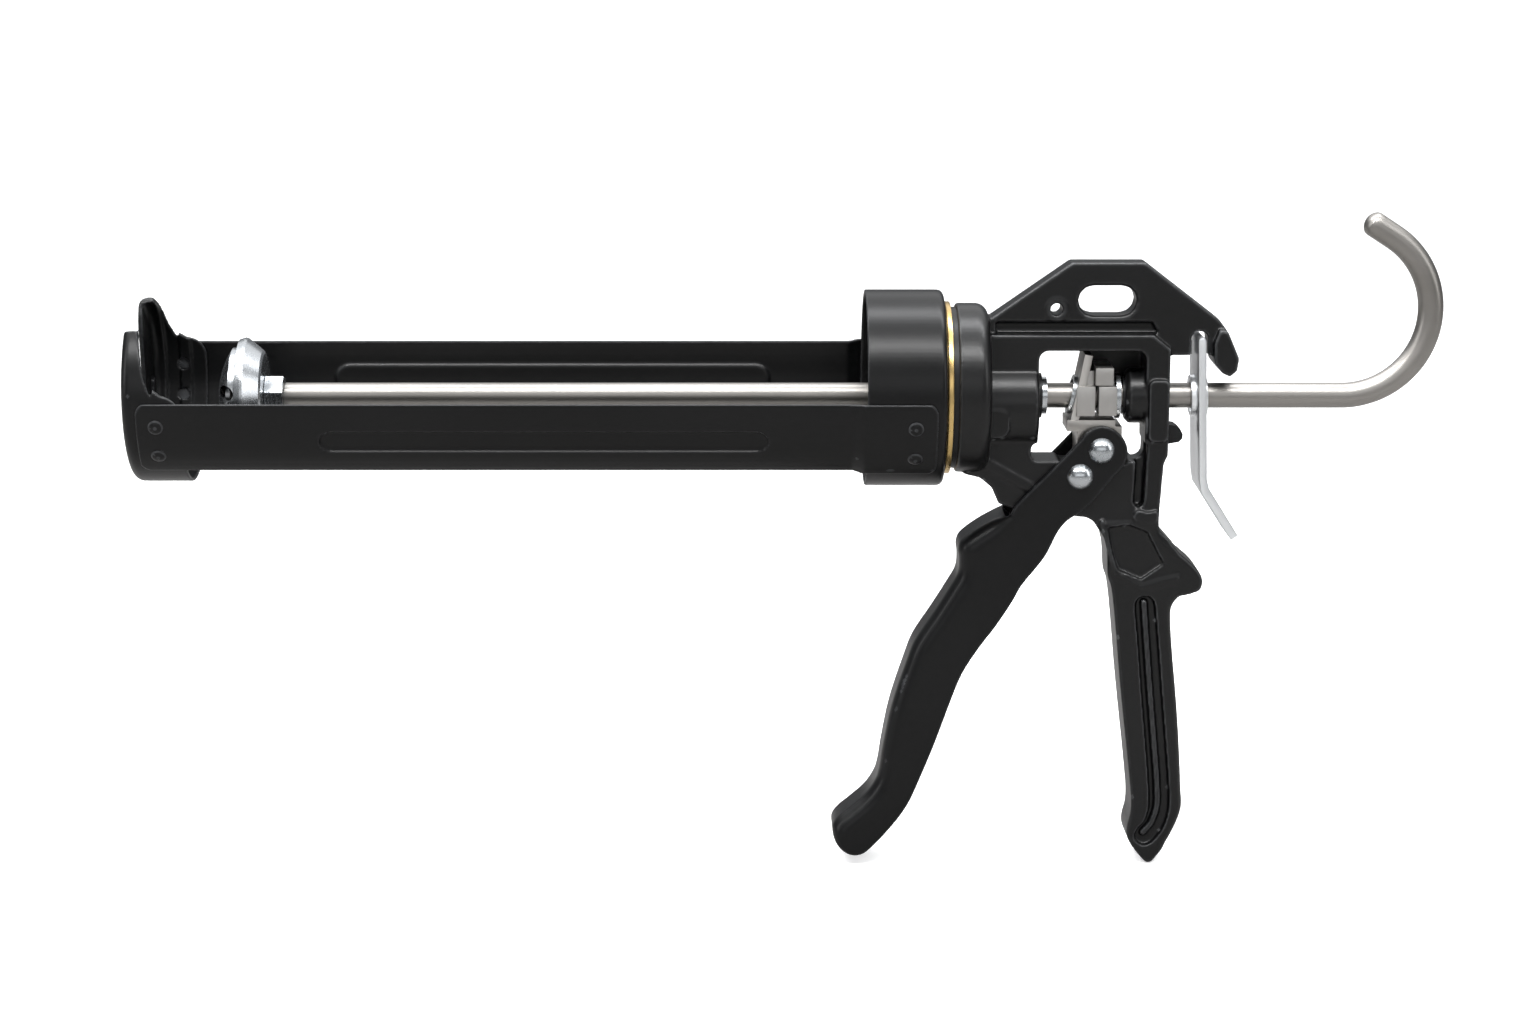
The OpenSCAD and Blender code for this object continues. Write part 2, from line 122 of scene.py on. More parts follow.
def loft(name, rings, closed_ends=True):
    """Skin over rings of equally many points, given in millimetres."""
    bm = bmesh.new()
    made = [[bm.verts.new((x * MM, y * MM, z * MM)) for x, y, z in ring] for ring in rings]
    n = len(rings[0])
    for a, b in zip(made, made[1:]):
        for i in range(n):
            j = (i + 1) % n
            bm.faces.new((a[i], a[j], b[j], b[i]))
    if closed_ends:
        bm.faces.new(made[0])
        bm.faces.new(list(reversed(made[-1])))
    else:
        for i in range(n):
            j = (i + 1) % n
            bm.faces.new((made[-1][i], made[-1][j], made[0][j], made[0][i]))
    bmesh.ops.recalc_face_normals(bm, faces=bm.faces)
    if bm.calc_volume(signed=True) < 0:
        bmesh.ops.reverse_faces(bm, faces=bm.faces)
    return new_object(name, bm)


def prism(outline, y0, y1):
    return loft("prism", [[(x, y, z) for x, z in outline] for y in (y0, y1)])


def both_sides(outline, y0, y1):
    return [prism(outline, y0, y1), prism(outline, -y1, -y0)]


def pillow(outline, half, radii, steps):
    """Prism from -half to half whose rims are rounded, by a radius for each point."""
    normals = outward(outline)
    rings = []
    for side in (1, -1):
        order = range(steps + 1) if side > 0 else range(steps, -1, -1)
        for k in order:
            phi = k / steps * math.pi / 2
            ring = []
            for (x, z), (nx, nz), r in zip(outline, normals, radii):
                inset = r * (1 - math.sin(phi))
                y = half - r * (1 - math.cos(phi))
                ring.append((x - nx * inset, side * y, z - nz * inset))
            rings.append(ring)
    return loft("pillow", rings)


def ribbon(path, width):
    """Outline of a band along a path, with round ends."""
    pts = [Vector(p) for p in path]
    left, right = [], []
    for i, p in enumerate(pts):
        a = pts[max(i - 1, 0)]
        b = pts[min(i + 1, len(pts) - 1)]
        d = (b - a).normalized()
        nrm = Vector((-d[1], d[0])) * width / 2
        left.append(p + nrm)
        right.append(p - nrm)

    def cap(p, start):
        arm = start - p
        out = []
        for k in range(1, 6):
            a = -math.pi * k / 6
            c, s = math.cos(a), math.sin(a)
            out.append(p + Vector((arm[0] * c - arm[1] * s, arm[0] * s + arm[1] * c)))
        return out

    ring = left + cap(pts[-1], left[-1]) + list(reversed(right)) + cap(pts[0], right[0])
    return [tuple(p) for p in ring]


def open_curve(path, n=6):
    """Smooth open path through the points."""
    closed = smooth(list(path) + list(reversed(path[1:-1])), (0, len(path) - 1), n)
    return closed[: (len(path) - 1) * n + 1]


def rounded_box(x0, x1, z0, z1, r, n=5):
    out = []
    corners = (
        (x1 - r, z1 - r, 0), (x0 + r, z1 - r, 90), (x0 + r, z0 + r, 180), (x1 - r, z0 + r, 270),
    )
    for cx, cz, start in corners:
        for k in range(n + 1):
            a = math.radians(start + 90 * k / n)
            out.append((cx + r * math.cos(a), cz + r * math.sin(a)))
    return out


def circle(cx, cz, r, n=40):
    turns = [2 * math.pi * k / n for k in range(n)]
    return [(cx + r * math.cos(a), cz + r * math.sin(a)) for a in turns]


def lathe(profile, segments=96):
    """Solid turned about the X axis, from an (x, r) outline."""
    rings = []
    for k in range(segments):
        a = 2 * math.pi * k / segments
        c, s = math.cos(a), math.sin(a)
        rings.append([(x, r * s, r * c) for x, r in profile])
    return loft("lathe", rings, closed_ends=False)


def bar_x(x0, x1, r, z=0.0, segments=64, ease=0.0):
    """Solid round bar along X, with eased ends."""
    outline = [(x0, r), (x1, r)]
    if ease:
        outline = [(x0, r - ease), (x0 + ease, r), (x1 - ease, r), (x1, r - ease)]
    rings = []
    for x, rr in outline:
        ring = []
        for k in range(segments):
            a = 2 * math.pi * k / segments
            ring.append((x, rr * math.sin(a), z + rr * math.cos(a)))
        rings.append(ring)
    return loft("bar", rings)


def bar_y(cx, cz, r, y0, y1):
    return prism(circle(cx, cz, r, 48), y0, y1)


def evaluated(obj):
    bpy.context.view_layer.update()
    deps = bpy.context.evaluated_depsgraph_get()
    return bpy.data.meshes.new_from_object(obj.evaluated_get(deps))


def apply_modifiers(obj):
    mesh = evaluated(obj)
    obj.modifiers.clear()
    old = obj.data
    obj.data = mesh
    bpy.data.meshes.remove(old)
    return obj


def joined(name, objects):
    """One object out of several; the first ones are removed."""
    bm = bmesh.new()
    for o in objects:
        bm.from_mesh(o.data)
    for o in objects:
        bpy.data.objects.remove(o)
    return new_object(name, bm)


def cut(obj, cutters):
    """Cuts tools away one after another, since tools that overlap leave walls behind."""
    for i, tool in enumerate(cutters):
        mod = obj.modifiers.new("cut", "BOOLEAN")
        mod.operation = "DIFFERENCE"
        mod.solver = "EXACT"
        mod.use_self = i == 0
        mod.object = tool
        apply_modifiers(obj)
        bpy.data.objects.remove(tool)
    return obj


def cast(obj, voxel, passes):
    """Turns sharp solids into one casting with softened edges."""
    mod = obj.modifiers.new("remesh", "REMESH")
    mod.mode = "VOXEL"
    mod.voxel_size = voxel * MM
    mod = obj.modifiers.new("soften", "SMOOTH")
    mod.factor = 0.5
    mod.iterations = passes
    apply_modifiers(obj)
    shade(obj, 180)
    return obj


def shade(obj, angle=35):
    """Smooth shading, with edges over the angle kept sharp."""
    bm = bmesh.new()
    bm.from_mesh(obj.data)
    limit = math.radians(angle)
    for f in bm.faces:
        f.smooth = True
    for e in bm.edges:
        sharp = len(e.link_faces) == 2 and e.calc_face_angle(0.0) > limit
        e.smooth = not sharp
    bm.to_mesh(obj.data)
    bm.free()
    return obj


def cad_copy(node, name):
    bm = bmesh.new()
    bm.from_mesh(NODES[node].data)
    bmesh.ops.remove_doubles(bm, verts=bm.verts, dist=2e-6)
    bmesh.ops.recalc_face_normals(bm, faces=bm.faces)
    return new_object(name, bm)


def eased(node, name, width):
    """Copy of a CAD node with a small bevel on its sharp edges."""
    obj = cad_copy(node, name)
    bm = bmesh.new()
    bm.from_mesh(obj.data)
    bmesh.ops.dissolve_limit(
        bm, angle_limit=math.radians(0.6), verts=bm.verts, edges=bm.edges
    )
    bm.to_mesh(obj.data)
    bm.free()
    mod = obj.modifiers.new("ease", "BEVEL")
    mod.width = width * MM
    mod.segments = 2
    mod.limit_method = "ANGLE"
    mod.angle_limit = math.radians(32)
    apply_modifiers(obj)
    return shade(obj, 40)


def sweep(name, centres, normals, radii, sides):
    """Round bar along a curve in the XZ plane."""
    rings = []
    for (x, z), (nx, nz), r in zip(centres, normals, radii):
        ring = []
        for k in range(sides):
            a = 2 * math.pi * k / sides
            c, s = r * math.cos(a), r * math.sin(a)
            ring.append((x + nx * c, s, z + nz * c))
        rings.append(ring)
    return loft(name, rings)


# ---------------------------------------------------------------- materials


def shader_tree(name):
    mat = bpy.data.materials.new(name)
    mat.use_nodes = True
    tree = mat.node_tree
    tree.nodes.clear()
    out = tree.nodes.new("ShaderNodeOutputMaterial")
    bsdf = tree.nodes.new("ShaderNodeBsdfPrincipled")
    tree.links.new(bsdf.outputs[0], out.inputs[0])
    return mat, tree, bsdf


def noise_node(tree, vector, scale, detail, rough=0.5):
    node = tree.nodes.new("ShaderNodeTexNoise")
    node.inputs["Scale"].default_value = scale
    node.inputs["Detail"].default_value = detail
    node.inputs["Roughness"].default_value = rough
    tree.links.new(vector, node.inputs["Vector"])
    return node.outputs["Fac"]


def stretched(tree, scale):
    coord = tree.nodes.new("ShaderNodeTexCoord")
    mapping = tree.nodes.new("ShaderNodeMapping")
    mapping.inputs["Scale"].default_value = scale
    tree.links.new(coord.outputs["Object"], mapping.inputs["Vector"])
    return mapping.outputs[0]


def ramp(tree, fac, low, high, a=0.35, b=0.65):
    node = tree.nodes.new("ShaderNodeValToRGB")
    e = node.color_ramp.elements
    e[0].position, e[1].position = a, b
    e[0].color = (*low, 1)
    e[1].color = (*high, 1)
    tree.links.new(fac, node.inputs[0])
    return node.outputs[0]


def remap(tree, fac, a, b, low, high):
    node = tree.nodes.new("ShaderNodeMapRange")
    node.inputs["From Min"].default_value = a
    node.inputs["From Max"].default_value = b
    node.inputs["To Min"].default_value = low
    node.inputs["To Max"].default_value = high
    tree.links.new(fac, node.inputs["Value"])
    return node.outputs[0]


def finish_of(
    name,
    low,
    high,
    rough,
    metal=0.0,
    patch=40.0,
    grain=900.0,
    bump=0.1,
    depth=0.05,
    stretch=(1, 1, 1),
    edge=None,
    specular=0.5,
):
    """Painted, cast or metal finish: patchy colour, grained gloss and relief, and a painted highlight on
    convex edges.
    """
    mat, tree, bsdf = shader_tree(name)
    vector = stretched(tree, stretch)
    plain = stretched(tree, (1, 1, 1))
    colour = ramp(tree, noise_node(tree, vector, patch, 4), low, high)
    if edge:
        # Edge colour: a painted highlight. A lighter colour is laid on convex edges by pointiness and
        # broken up by noise, in place of the light lines that lit edges show.
        geo = tree.nodes.new("ShaderNodeNewGeometry")
        edge_highlight_mask = remap(tree, geo.outputs["Pointiness"], 0.515, 0.57, 0.0, 1.0)
        breakup = remap(tree, noise_node(tree, plain, 260, 5, 0.7), 0.35, 0.60, 0.45, 1.0)
        both = tree.nodes.new("ShaderNodeMath")
        both.operation = "MULTIPLY"
        tree.links.new(edge_highlight_mask, both.inputs[0])
        tree.links.new(breakup, both.inputs[1])
        mix = tree.nodes.new("ShaderNodeMix")
        mix.data_type = "RGBA"
        tree.links.new(both.outputs[0], mix.inputs["Factor"])
        tree.links.new(colour, mix.inputs["A"])
        edge_highlight_colour = ramp(tree, noise_node(tree, plain, 500, 3), tuple(c * 0.7 for c in edge), edge)
        tree.links.new(edge_highlight_colour, mix.inputs["B"])
        colour = mix.outputs["Result"]
    tree.links.new(colour, bsdf.inputs["Base Color"])
    fine = noise_node(tree, vector, grain, 3, 0.6)
    broad = noise_node(tree, vector, patch * 0.6, 3)
    total = tree.nodes.new("ShaderNodeMath")
    total.operation = "ADD"
    tree.links.new(fine, total.inputs[0])
    tree.links.new(broad, total.inputs[1])
    tree.links.new(remap(tree, total.outputs[0], 0.7, 1.3, *rough), bsdf.inputs["Roughness"])
    relief = tree.nodes.new("ShaderNodeBump")
    relief.inputs["Strength"].default_value = bump
    relief.inputs["Distance"].default_value = depth * MM
    tree.links.new(fine, relief.inputs["Height"])
    tree.links.new(relief.outputs[0], bsdf.inputs["Normal"])
    bsdf.inputs["Metallic"].default_value = metal
    bsdf.inputs["Specular IOR Level"].default_value = specular
    return mat


# The edge colour below is a painted highlight on the convex edges of the powder coat.
PAINT = finish_of(
    "black_powder_coat", (0.0020, 0.0021, 0.0023), (0.0034, 0.0035, 0.0038), (0.30, 0.36),
    patch=18, grain=1300, bump=0.06, edge=(0.045, 0.047, 0.050), specular=0.24,
)
# The edge colour below is a painted highlight on the convex edges of the casting.
CAST = finish_of(
    "black_casting", (0.0020, 0.0021, 0.0023), (0.0036, 0.0037, 0.0040), (0.28, 0.35),
    patch=24, grain=950, bump=0.10, edge=(0.085, 0.088, 0.092), specular=0.34,
)
PLASTIC = finish_of(
    "black_plastic", (0.0070, 0.0070, 0.0075), (0.0100, 0.0100, 0.0108), (0.38, 0.46),
    patch=40, grain=1500, bump=0.10, specular=0.25,
)
ZINC = finish_of(
    "bright_zinc", (0.42, 0.445, 0.465), (0.52, 0.54, 0.56), (0.22, 0.30), metal=1.0,
    patch=45, grain=1100, bump=0.03, depth=0.01,
)
LEVER_ZINC = finish_of(
    "lever_zinc", (0.82, 0.85, 0.87), (0.90, 0.92, 0.94), (0.30, 0.36), metal=1.0,
    patch=30, grain=260, bump=0.01, depth=0.01, stretch=(1, 1, 0.25),
)
ROD = finish_of(
    "drawn_rod", (0.24, 0.229, 0.214), (0.31, 0.297, 0.281), (0.36, 0.43), metal=1.0,
    patch=50, grain=420, bump=0.02, depth=0.01, stretch=(0.10, 1, 1),
)
BRASS = finish_of(
    "turned_brass", (0.62, 0.43, 0.17), (0.74, 0.54, 0.24), (0.24, 0.32), metal=1.0,
    patch=50, grain=800, bump=0.06, depth=0.02, stretch=(1.5, 0.12, 0.12),
)
STEEL = finish_of(
    "sintered_steel", (0.33, 0.322, 0.31), (0.42, 0.411, 0.398), (0.40, 0.48), metal=1.0,
    patch=60, grain=1500, bump=0.22, depth=0.04,
)
YOKE_STEEL = finish_of(
    "yoke_steel", (0.30, 0.285, 0.265), (0.40, 0.385, 0.365), (0.30, 0.38), metal=1.0,
    patch=60, grain=800, bump=0.10, depth=0.03, stretch=(1, 1, 0.3),
)
SPRING = finish_of(
    "spring_steel", (0.24, 0.245, 0.25), (0.34, 0.345, 0.35), (0.25, 0.34), metal=1.0,
    patch=80, grain=800, bump=0.08, depth=0.02,
)


def dress(obj, mat):
    obj.data.materials.clear()
    obj.data.materials.append(mat)


def place(obj, name, mat, body, slot, *nodes):
    obj.name = name
    dress(obj, mat)
    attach(obj, body)
    if nodes:
        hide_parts(*nodes)
    return obj


# ---------------------------------------------------------------- camera, floor, light

ELEVATION = math.radians(11.0)
TARGET = Vector((0.1649, 0.0, -0.0353))
DISTANCE = 0.952

cam_data = bpy.data.cameras.new("camera")
cam_data.lens = 79.7
cam_data.sensor_width = 36.0
cam_data.shift_x = 0.0254
cam = bpy.data.objects.new("camera", cam_data)
scene.collection.objects.link(cam)
back = Vector((0.0, -math.cos(ELEVATION), math.sin(ELEVATION)))
cam.location = TARGET + back * DISTANCE
cam.rotation_mode = "QUATERNION"
cam.rotation_quaternion = (-back).to_track_quat("-Z", "Y")
scene.camera = cam

FLOOR_Z = CAD_BOX[0].z - 0.0001


def make_floor():
    bm = bmesh.new()
    s = 60.0
    for x, y in ((-s, -s), (s, -s), (s, s), (-s, s)):
        bm.verts.new((x, y, FLOOR_Z))
    bm.verts.ensure_lookup_table()
    bm.faces.new(bm.verts)
    floor = new_object("floor", bm)
    mat, tree, bsdf = shader_tree("floor_white")
    tree.nodes.remove(bsdf)
    out = [n for n in tree.nodes if n.type == "OUTPUT_MATERIAL"][0]
    soft = tree.nodes.new("ShaderNodeBsdfDiffuse")
    soft.inputs["Color"].default_value = (0.8, 0.8, 0.8, 1)
    glow = tree.nodes.new("ShaderNodeEmission")
    glow.inputs["Strength"].default_value = 0.47
    add = tree.nodes.new("ShaderNodeAddShader")
    tree.links.new(soft.outputs[0], add.inputs[0])
    tree.links.new(glow.outputs[0], add.inputs[1])
    dim = tree.nodes.new("ShaderNodeBsdfDiffuse")
    dim.inputs["Color"].default_value = (0.28, 0.275, 0.27, 1)
    path = tree.nodes.new("ShaderNodeLightPath")
    mix = tree.nodes.new("ShaderNodeMixShader")
    tree.links.new(path.outputs["Is Camera Ray"], mix.inputs[0])
    tree.links.new(dim.outputs[0], mix.inputs[1])
    tree.links.new(add.outputs[0], mix.inputs[2])
    tree.links.new(mix.outputs[0], out.inputs[0])
    dress(floor, mat)


def make_world():
    world = bpy.data.worlds.new("studio")
    scene.world = world
    world.use_nodes = True
    tree = world.node_tree
    tree.nodes.clear()
    out = tree.nodes.new("ShaderNodeOutputWorld")
    seen = tree.nodes.new("ShaderNodeBackground")
    seen.inputs["Color"].default_value = (1, 1, 1, 1)
    seen.inputs["Strength"].default_value = 1.0
    lit = tree.nodes.new("ShaderNodeBackground")
    lit.inputs["Color"].default_value = (0.93, 0.96, 1.0, 1)
    lit.inputs["Strength"].default_value = 0.20
    path = tree.nodes.new("ShaderNodeLightPath")
    mix = tree.nodes.new("ShaderNodeMixShader")
    tree.links.new(path.outputs["Is Camera Ray"], mix.inputs[0])
    tree.links.new(lit.outputs[0], mix.inputs[1])
    tree.links.new(seen.outputs[0], mix.inputs[2])
    tree.links.new(mix.outputs[0], out.inputs[0])


def softbox(name, at, aim, width, height, watts, tint=(1, 1, 1)):
    data = bpy.data.lights.new(name, "AREA")
    data.shape = "RECTANGLE"
    data.size, data.size_y = width, height
    data.energy = watts
    data.color = tint
    obj = bpy.data.objects.new(name, data)
    scene.collection.objects.link(obj)
    obj.location = at
    obj.rotation_mode = "QUATERNION"
    obj.rotation_quaternion = (Vector(aim) - Vector(at)).to_track_quat("-Z", "Y")


make_floor()
make_world()
softbox("key", (0.15, -0.50, 0.80), (0.17, 0, -0.02), 1.5, 0.12, 16)
softbox("top", (0.17, 0.25, 1.0), (0.17, 0.05, -0.05), 1.8, 0.24, 16, (0.97, 0.98, 1))
softbox("front", (0.17, -1.1, 0.28), (0.17, 0, 0), 1.6, 0.35, 2.2)
softbox("left", (-0.85, -0.25, 0.35), (0.1, 0, -0.02), 0.25, 0.7, 2.5)
softbox("right", (1.15, -0.3, 0.35), (0.2, 0, -0.02), 0.25, 0.7, 2)
sky = bpy.data.lights.new("sky", "SUN")
sky.energy = 2.2
sky.angle = math.radians(110)
sky_at = bpy.data.objects.new("sky", sky)
scene.collection.objects.link(sky_at)
sky_at.rotation_euler = (math.radians(-12), 0, 0)


# ---------------------------------------------------------------- handle casting

FACE = 7.5
GRIP = 8.0
WEB = 4.6
PIVOT = (262.0, -23.5)
HINGE = (294.9, 13.95)
ROD_Z = -2.2
ROD_R = 3.5


def flange_profile():
    """Half section of the round flange the cradle turns against."""
    turns = [k * math.pi / 16 for k in range(9)]
    shoulder = [(233 + 3.6 * math.sin(a), 19.9 + 3.6 * math.cos(a)) for a in turns]
    return [(227.6, 0.5), (227.6, 23.2), (227.9, 23.5)] + shoulder + [(236.6, 0.5)]


def slot_bevel(side):
    """Eased mouth of the hang slot on one face of the bracket."""
    rings = []
    for width, y in ((10.2, WEB + 0.3), (8.2, WEB - 0.9)):
        band = ribbon([(265.3, 24.8), (273.1, 24.8)], width)
        rings.append([(x, side * y, z) for x, z in band])
    return loft("bevel", rings)


def make_casting():
    frame_plate = [
        (231, 15.6), (281.8, 15.6), (286.6, 11.8), (286.5, -18), (285.4, -20.5), (284.6, -32.5),
        (284.3, -38.5), (290, -45), (276, -47), (269.3, -41.5), (266.2, -36.6), (264, -35.4),
        (257, -35), (252, -35.4), (246, -33.8), (239.7, -31.5), (237.8, -27.1), (234.5, -24.3),
        (230, -23.2), (230, -10),
    ]
    grip = [
        (284.4, -36), (285, -40.5), (289.2, -44.6), (295.1, -49.8), (296.9, -52.9), (296.5, -55.9),
        (294, -57.2), (291, -58.1), (288.8, -60.9), (288.5, -64.6), (289.1, -72.8), (291.2, -93.3),
        (292.6, -113.9), (292.7, -119.9), (289.4, -128.1), (285, -134.4), (283.5, -135.15),
        (281.9, -134), (278.2, -129.1), (277.3, -125.7), (278.4, -119.9), (278.2, -113.9),
        (274.6, -83.4), (272.6, -63.5), (271.5, -55.3), (270.5, -52.2), (270.1, -46.5),
        (269.3, -41.5), (266.2, -36.6),
    ]
    bracket = [
        (232, 16.4), (235.9, 19.1), (259.2, 35.3), (279.5, 35.3), (300.1, 19.5), (302.2, 16.7),
        (305.5, 9.1), (305, 5.6), (303.1, 4), (301, 4.9), (298.7, 7.7), (298.6, 9.6),
        (287.4, 9.6), (283, 14), (232, 14),
    ]
    grip_line = smooth(grip, (28, 0), 5)
    radii = []
    for x, z in grip_line:
        middle = 281.5 + (-60 - z) * 0.09
        radii.append(2.4 if x > middle and z < -58 else 0.9)
    adds = [
        lathe(flange_profile()),
        bar_x(218, 228.2, 12, 0, 64, 0.5),
        bar_x(230, 250.4, 12.3, -4.2, 64, 0.9),
        prism(frame_plate, -FACE, FACE),
        pillow(grip_line, GRIP, radii, 4),
        prism(bracket, -WEB, WEB),
        prism(
            [
                (298.6, 13.2), (298.7, 7.7), (301, 4.9), (303.1, 4), (305, 5.6), (305.5, 9.1),
                (302.2, 16.7), (300, 17),
            ],
            -FACE, FACE,
        ),
        prism(rounded_box(230, 242, -12.2, -4.6, 2.6), -12.6, 12.6),
        # Raised pad over the rear bar
        prism(rounded_box(280.8, 286.4, -14, 3.2, 1.6), -8.9, 8.9),
        # Rib across the lower web
        prism(ribbon([(233.5, -18.6), (248.4, -26.9)], 2.6), -8.0, 8.0),
        # Ring round the small hole
        bar_y(255.2, 22.4, 3.1, -5.0, 5.0),
    ]
    body = joined("casting_body", adds)
    channel = open_curve(
        [(281.0, -60.5), (282.2, -72), (283.5, -86), (284.9, -100), (286, -112), (286.2, -119),
         (284.8, -124), (282.4, -127)], 5
    )
    cuts = [
        prism(rounded_box(250.4, 280, -19.4, 11.2, 2.6), -20, 20),
        prism(rounded_box(248.6, 256, -19.4, -14.6, 1.5), -20, 20),
        prism(rounded_box(256.5, 275.5, -20.3, -12, 1), -20, 20),
        prism(ribbon([(265.3, 24.8), (273.1, 24.8)], 8.2), -20, 20),
        bar_y(255.2, 22.4, 1.7, -20, 20),
        prism(circle(HINGE[0], HINGE[1], 2.35), -20, 20),
        prism([(292.55, 3), (297.25, 3), (297.25, 13.9), (292.55, 13.9)], -20, 20),
        bar_x(210, 292, ROD_R + 0.3, ROD_Z),
        bar_x(239, 252, 6.2, ROD_Z),
        bar_x(272, 288, 5.2, ROD_Z),
        bar_y(PIVOT[0], PIVOT[1], 2.5, -20, 20),
        bar_y(PIVOT[0], PIVOT[1], 4.8, -9, -3.6),
    ]
    fan = [PIVOT]
    for k in range(9):
        a = math.radians(212 + 50 * k / 8)
        fan.append((PIVOT[0] + 24.5 * math.cos(a), PIVOT[1] + 24.5 * math.sin(a)))
    cuts.append(prism(fan, -9, -FACE + 1.4))
    cuts += both_sides([(238.5, 15.7), (283.6, 15.7), (281.6, 18.9), (238.5, 18.9)], 2.8, 20)
    # Long recess down the grip, and the slot behind the window
    cuts += both_sides(ribbon(channel, 5.8), GRIP - 1.9, 20)
    cuts += both_sides(ribbon([(279.2, -15.5), (278.9, -24), (278.6, -31)], 3.0), 3.5, 20)
    cut(body, cuts)
    cut(body, [slot_bevel(side) for side in (-1, 1)])
    # Sunken panel under the thumb rest
    panel = [
        (270.2, -38.2), (276, -37.4), (281.2, -39.4), (286, -48.6), (279.7, -53.0),
        (273.3, -50.2), (271.6, -46),
    ]
    cut(body, both_sides(panel, GRIP - 1.1, 12))
    ridge = open_curve(
        [(280.7, -59.5), (281.8, -72), (283.1, -86), (284.5, -100), (285.6, -112), (285.7, -118.6),
         (284.2, -123.4), (281.9, -126.2)], 5
    )
    extra = both_sides(ribbon(ridge, 1.5), 5, GRIP - 0.25)
    # Raised border round the lower side of the panel
    border = [(268.6, -36.6), (271.2, -46.6), (272.6, -51.2), (279.6, -55.3), (284.2, -53.8), (290, -52.4)]
    extra += both_sides(ribbon(border, 1.3), 5, GRIP + 0.45)
    # Bump that ends the slot behind the window
    extra += both_sides(smooth([(277.0, -35.6), (278.4, -33.2), (281.2, -34.0), (283.6, -33.4),
                                (284.2, -35.8), (281, -37.4)], (), 3), 5, GRIP + 0.5)
    # Boss of the rear bush, and the cover on the far side of the window
    boss = bar_x(274.6, 282, 7.7, ROD_Z, 48, 1.3)
    cut(boss, [bar_x(272, 284, 5.2, ROD_Z)])
    extra += [
        boss,
        prism(rounded_box(263, 284, -1, 14, 2), 8.5, 9.9),
        prism(rounded_box(263, 284, 11.6, 14, 1), 6.9, 9.9),
        prism(rounded_box(280.6, 284, -1, 14, 1.5), 6.9, 9.9),
    ]
    body = joined("casting_body", [body] + extra)
    cast(body, 0.42, 6)
    return place(body, "casting_body", CAST, "frame", "cast_black", "handle_casting")


# ---------------------------------------------------------------- trigger


def make_trigger():
    outline = [
        (243, -34.4), (238.2, -36.2), (233.4, -39.0), (229.6, -42.2), (228.7, -44.7), (229, -47.2),
        (228.7, -51.6), (226.4, -55.9), (222.1, -62.9), (216.8, -71.1), (214.3, -77.7), (210.4, -90),
        (208.1, -101.5), (206.7, -109.8), (203.9, -114.8), (199.5, -118.9), (195.6, -122.2),
        (194.1, -124.8), (195.1, -129.1), (198, -132), (200.8, -132.6), (203.6, -131.4),
        (210.6, -124), (215.3, -117.3), (218.9, -109.1), (222.8, -99.3), (227.3, -86.6),
        (230.3, -79.2), (234.9, -71.9), (239.5, -65.7), (244, -58.6), (246.2, -54.5), (252.6, -46.2),
        (256.1, -39.2), (258.5, -36.1), (262.9, -33.1), (266.1, -29.9), (271.5, -23.2),
        (273.8, -20.7), (275.1, -16.8), (273.8, -12.8), (271, -10.2), (267.4, -9.3), (263.8, -10.9),
        (262, -13.2), (253.8, -21.9), (244.4, -31.6),
    ]
    inside = [
        (244, -37.2), (238.8, -38.8), (235, -41), (231.9, -43.4), (230.8, -44.9), (231.1, -47.4),
        (230.7, -52), (228.3, -56.9), (224, -63.9), (218.8, -72), (216.4, -78.3), (212.5, -90.5),
        (210.2, -101.9), (208.7, -110.5), (205.6, -116.2), (200.9, -120.6), (197.6, -123.6),
        (196.4, -125.6), (197.2, -128.2), (199.2, -130.2), (201.2, -130.4), (240, -130),
        (262, -60), (300, -40), (300, 0), (262, 0), (240, -28), (240.6, -33.8),
    ]
    hard = {0}
    line = smooth(outline, hard, 4)
    radii = []
    for i in range(len(line)):
        k = i / 4
        radii.append(4.6 if 0.5 <= k <= 17.5 else (1.6 if k < 20.5 and k > 17.5 else 0.5))
    # Ease the change of radius along the edge
    n = len(radii)
    for _ in range(6):
        radii = [(radii[i - 1] + radii[i] + radii[(i + 1) % n]) / 3 for i in range(n)]
    body = pillow(line, 10.0, radii, 6)
    inner = smooth(inside, tuple(range(20, 28)) + (0, 1), 4)
    cut(body, [
        prism(inner, -8.2, 8.2),
        bar_y(PIVOT[0], PIVOT[1], 2.55, -30, 30),
        bar_y(267.8, -16.2, 2.5, -30, 30),
    ])
    cast(body, 0.36, 3)
    return place(body, "trigger_shell", PAINT, "trigger", "black_paint", "trigger")


# ---------------------------------------------------------------- push rod


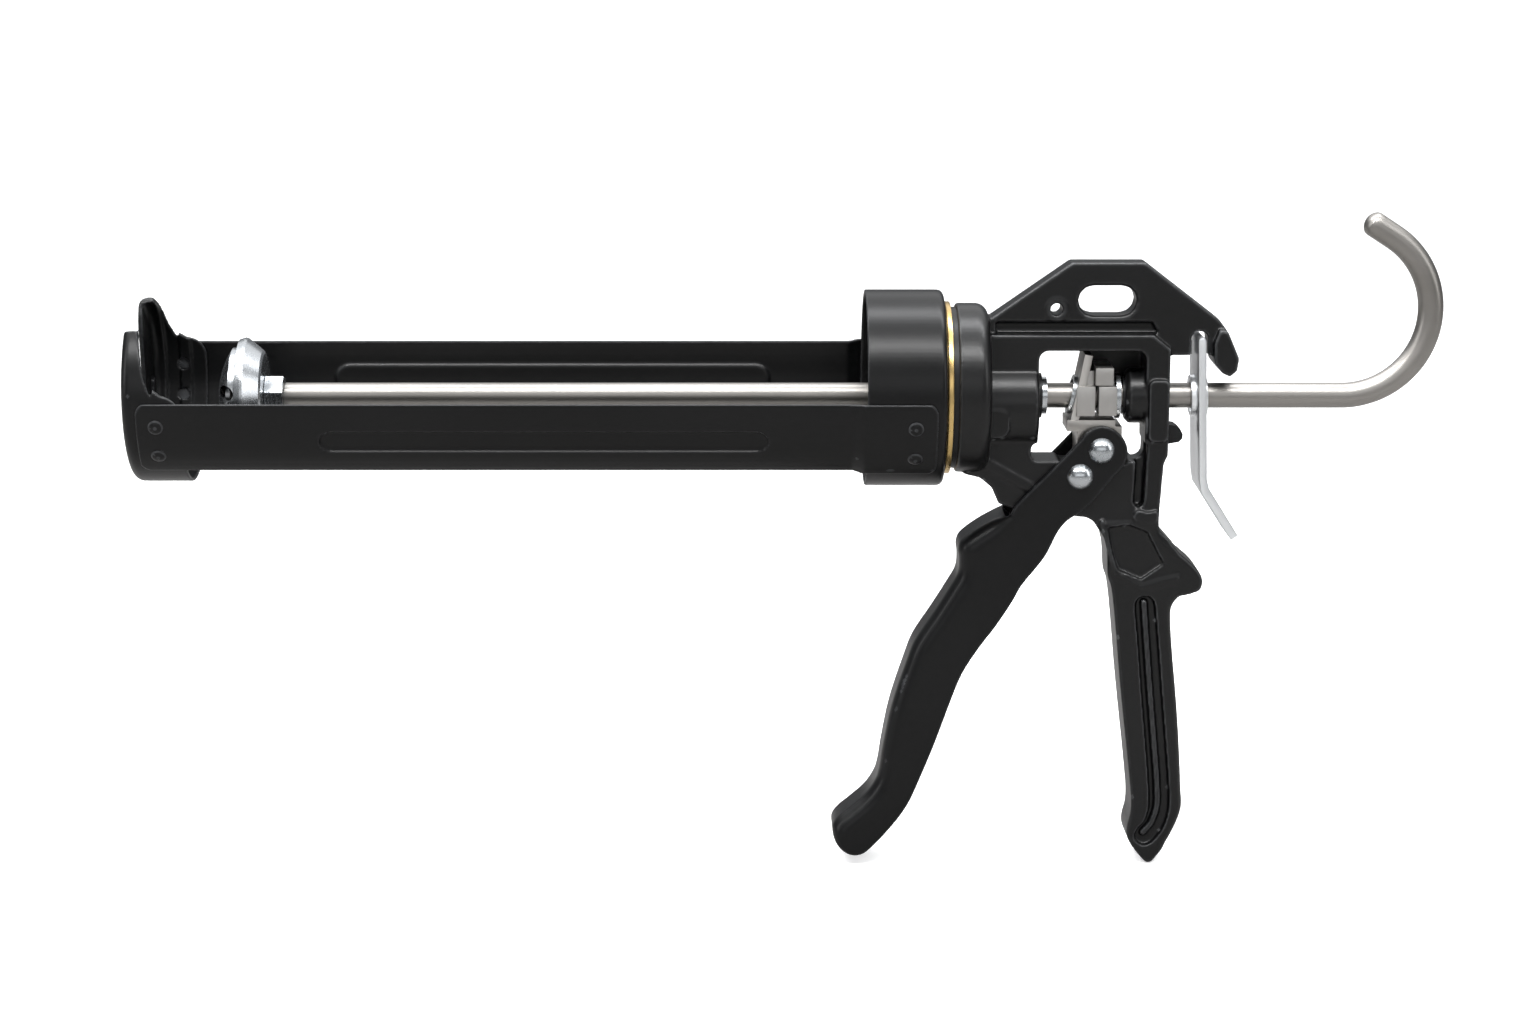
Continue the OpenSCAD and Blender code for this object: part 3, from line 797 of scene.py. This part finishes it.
def make_rod():
    hook_x, hook_r = 335.1, 24.0
    centres, normals, radii = [], [], []

    def add(x, z, nx, nz, r):
        centres.append((x, z))
        normals.append((nx, nz))
        radii.append(r)

    for x, r in ((23.9, 2.7), (24.3, 3.0), (41.0, 3.0), (41.3, 3.2), (41.8, 3.5)):
        add(x, ROD_Z, 0, 1, r)
    for k in range(1, 40):
        add(41.8 + (hook_x - 41.8) * k / 40, ROD_Z, 0, 1, ROD_R)
    steps = 64
    for k in range(steps + 1):
        a = math.radians(-90 + 147 * k / steps)
        c, s = math.cos(a), math.sin(a)
        add(hook_x + hook_r * c, ROD_Z + hook_r + hook_r * s, -c, -s, ROD_R)
    a = math.radians(57)
    c, s = math.cos(a), math.sin(a)
    dx, dz = -s, c
    ex, ez = hook_x + hook_r * c, ROD_Z + hook_r + hook_r * s
    for d in (1.5, 3.5, 5.5, 6.6):
        add(ex + dx * d, ez + dz * d, -c, -s, ROD_R)
    ball, base = 4.0, 7.0 - 1.8
    for k in range(1, 9):
        phi = math.radians(28 + (88 - 28) * k / 9)
        d = base + ball * math.sin(phi)
        r = min(ROD_R, ball * math.cos(phi))
        add(ex + dx * d, ez + dz * d, -c, -s, r)
    rod = sweep("rod_bar", centres, normals, radii, 40)
    shade(rod, 50)
    return place(rod, "rod_bar", ROD, "rod", "bright_rod", "push_rod")


make_casting()
make_trigger()
make_rod()

# ---------------------------------------------------------------- cradle and small parts

# CAD node, piece, material, body, slot, width of the eased edge in mm
EASED = [
    ("brass_ring", "brass_disc", BRASS, "frame", "brass", 0.35),
    ("release_lever", "lever_plate", LEVER_ZINC, "lever", "zinc", 0.35),
    ("drive_yoke", "yoke_plate", YOKE_STEEL, "driver", "sintered_steel", 0.3),
    ("drive_plate_front", "drive_plate_a", STEEL, "driver", "sintered_steel", 0.25),
    ("drive_plate_rear", "drive_plate_b", STEEL, "driver", "sintered_steel", 0.25),
    ("drive_block", "drive_block_top", STEEL, "driver", "sintered_steel", 0.25),
    ("plunger_nut", "hex_nut", ZINC, "rod", "zinc", 0.25),
]

MAT_OF_SLOT = {
    "black_paint": PAINT, "cast_black": CAST, "black_plastic": PLASTIC, "zinc": ZINC,
    "brass": BRASS, "bright_rod": ROD, "spring_steel": SPRING, "sintered_steel": STEEL,
}

SLOT_OF = {s["node"]: s["material_slot"] for s in frame["record"]["subparts"]}

# CAD node, piece, voxel in mm, smoothing passes
PRESSED = [
    ("rail_near", "rail_sheet_near", 0.38, 5),
    ("rail_far", "rail_sheet_far", 0.38, 5),
    ("front_cap", "cap_shell", 0.34, 4),
    ("rear_collar", "collar_shell", 0.34, 4),
]

for node, piece, voxel, passes in PRESSED:
    shell = cast(cad_copy(node, piece), voxel, passes)
    place(shell, piece, PAINT, "cradle", "black_paint", node)

for node, piece, mat, body, slot, width in EASED:
    place(eased(node, piece, width), piece, mat, body, slot, node)

DONE = {"handle_casting", "trigger", "push_rod"} | {row[0] for row in EASED + PRESSED}
for node, obj in NODES.items():
    if node in DONE:
        continue
    dress_with = MAT_OF_SLOT[SLOT_OF[node]]
    for holder in obj.material_slots:
        holder.material = dress_with
    if not obj.material_slots:
        obj.data.materials.append(dress_with)
